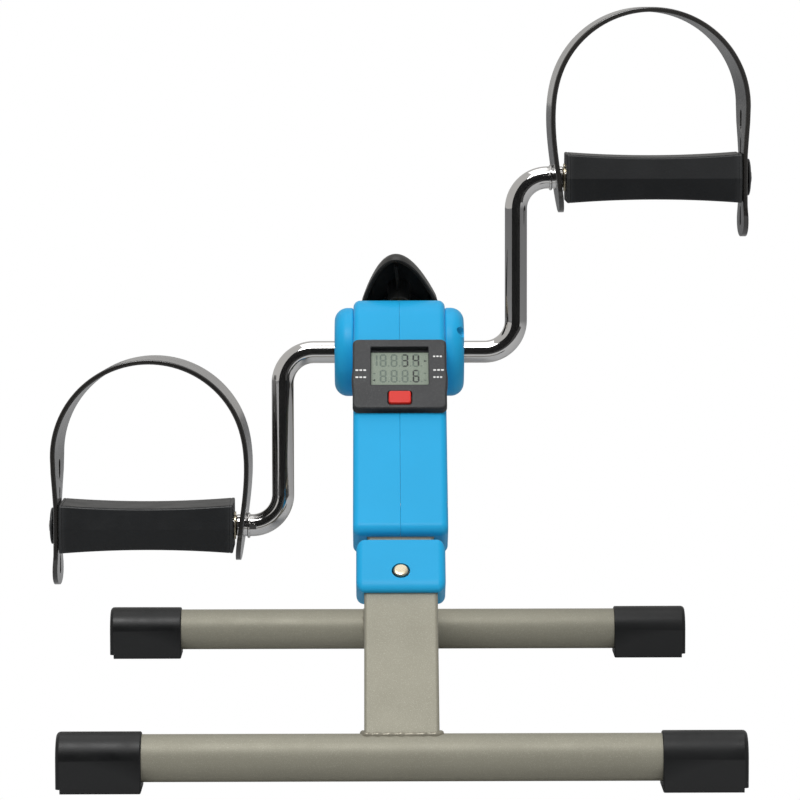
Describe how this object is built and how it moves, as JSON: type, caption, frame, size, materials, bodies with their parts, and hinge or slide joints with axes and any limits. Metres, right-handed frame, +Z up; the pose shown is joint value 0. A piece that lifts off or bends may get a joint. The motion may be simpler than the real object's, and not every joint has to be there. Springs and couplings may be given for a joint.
{
  "type": "pedal exerciser",
  "caption": "Fold-up pedal exerciser on two feet, with a bent chrome crank, strapped pedals, a tension knob and a small display.",
  "frame": {"origin": "on the floor, at the middle of the feet's footprint", "axes": "+X to the user's right, +Y away from the user, +Z up"},
  "size_m": [0.4038, 0.5064, 0.4126],
  "materials": {
    "leg_paint": "satin powder coat, warm silver grey",
    "housing_blue": "smooth moulded plastic, satin",
    "cap_rubber": "black rubber, slightly glossy",
    "chrome": "polished plated steel",
    "pedal_plastic": "black moulded plastic, fine grain",
    "strap_rubber": "glossy flexible vinyl",
    "knob_plastic": "black moulded plastic",
    "case_plastic": "dark grey textured plastic",
    "lcd": "grey-green liquid crystal panel",
    "window_clear": "clear window",
    "button_red": "red moulded plastic",
    "zinc": "zinc plated, slightly yellow",
    "spring_steel": "plain spring steel",
    "bracket_steel": "grey primer",
    "bush_nylon": "natural nylon",
    "friction_felt": "pressed friction pad",
    "board_green": "circuit board"
  },
  "bodies": {
    "frame": {"front_cross_tube": "leg_paint", "front_foot_cap_left": "cap_rubber", "front_foot_cap_right": "cap_rubber", "front_leg_tube": "leg_paint", "leg_collar": "housing_blue", "column_tube": "leg_paint", "button_spring": "spring_steel", "head_bracket": "bracket_steel", "rear_leg_pin": "zinc", "crank_bush_left": "bush_nylon", "crank_bush_right": "bush_nylon", "tension_nut": "zinc", "housing_left": "housing_blue", "housing_right": "housing_blue", "housing_screws": "zinc", "display_case": "case_plastic", "display_back": "case_plastic", "lcd_window": "window_clear", "lcd_panel": "lcd", "circuit_board": "board_green", "button_cell": "zinc", "reed_sensor": "case_plastic", "sensor_lead": "strap_rubber"},
    "rear_leg": {"rear_leg_tube": "leg_paint", "rear_cross_tube": "leg_paint", "rear_foot_cap_left": "cap_rubber", "rear_foot_cap_right": "cap_rubber", "rear_pivot_sleeve": "bush_nylon"},
    "crank": {"crank_rod": "chrome", "brake_drum": "bracket_steel", "magnet": "spring_steel", "spindle_collars": "chrome", "thrust_washers": "zinc", "push_nuts": "zinc"},
    "pedal_left": {"pedal_block_left": "pedal_plastic", "pedal_bushes_left": "bush_nylon", "pedal_boss_left": "pedal_plastic", "boss_rivet_left": "chrome", "foot_strap_left": "strap_rubber"},
    "pedal_right": {"pedal_block_right": "pedal_plastic", "pedal_bushes_right": "bush_nylon", "pedal_boss_right": "pedal_plastic", "boss_rivet_right": "chrome", "foot_strap_right": "strap_rubber"},
    "brake": {"brake_shoe": "bush_nylon", "brake_pad": "friction_felt"},
    "tension_knob": {"tension_knob": "knob_plastic", "tension_screw": "zinc"},
    "lock_button": {"lock_button": "zinc", "button_leaf": "spring_steel"},
    "reset_button": {"reset_button": "button_red"}
  },
  "joints": [
    {"name": "rear_leg_fold", "type": "hinge", "parent": "frame", "child": "rear_leg", "pos_m": [0, 0.005, 0.195], "axis": [1, 0, 0], "range_deg": [-97, 0]},
    {"name": "crank_spin", "type": "hinge", "parent": "frame", "child": "crank", "pos_m": [0, -0.025, 0.2155], "axis": [1, 0, 0], "continuous": true},
    {"name": "pedal_left_spin", "type": "hinge", "parent": "crank", "child": "pedal_left", "pos_m": [-0.14, -0.025, 0.1155], "axis": [1, 0, 0], "continuous": true},
    {"name": "pedal_right_spin", "type": "hinge", "parent": "crank", "child": "pedal_right", "pos_m": [0.14, -0.025, 0.3155], "axis": [1, 0, 0], "continuous": true},
    {"name": "brake_slide", "type": "slide", "parent": "frame", "child": "brake", "axis": [0, 0.7071, 0.7071], "range_m": [-0.0012, 0.0024]},
    {"name": "tension_knob_turn", "type": "hinge", "parent": "brake", "child": "tension_knob", "pos_m": [0, -0.025, 0.2155], "axis": [0, 0.7071, 0.7071], "range_deg": [-360, 720]},
    {"name": "lock_button_press", "type": "slide", "parent": "frame", "child": "lock_button", "axis": [0, 0.7071, -0.7071], "range_m": [0, 0.004], "stiffness_N_per_m": 1500},
    {"name": "reset_button_press", "type": "slide", "parent": "frame", "child": "reset_button", "axis": [0, 0.7071, -0.7071], "range_m": [0, 0.001], "stiffness_N_per_m": 800}
  ],
  "couplings": [
    {"joint": "tension_knob_turn", "follows": "brake_slide", "rad_per_m": 5026.5}
  ]
}
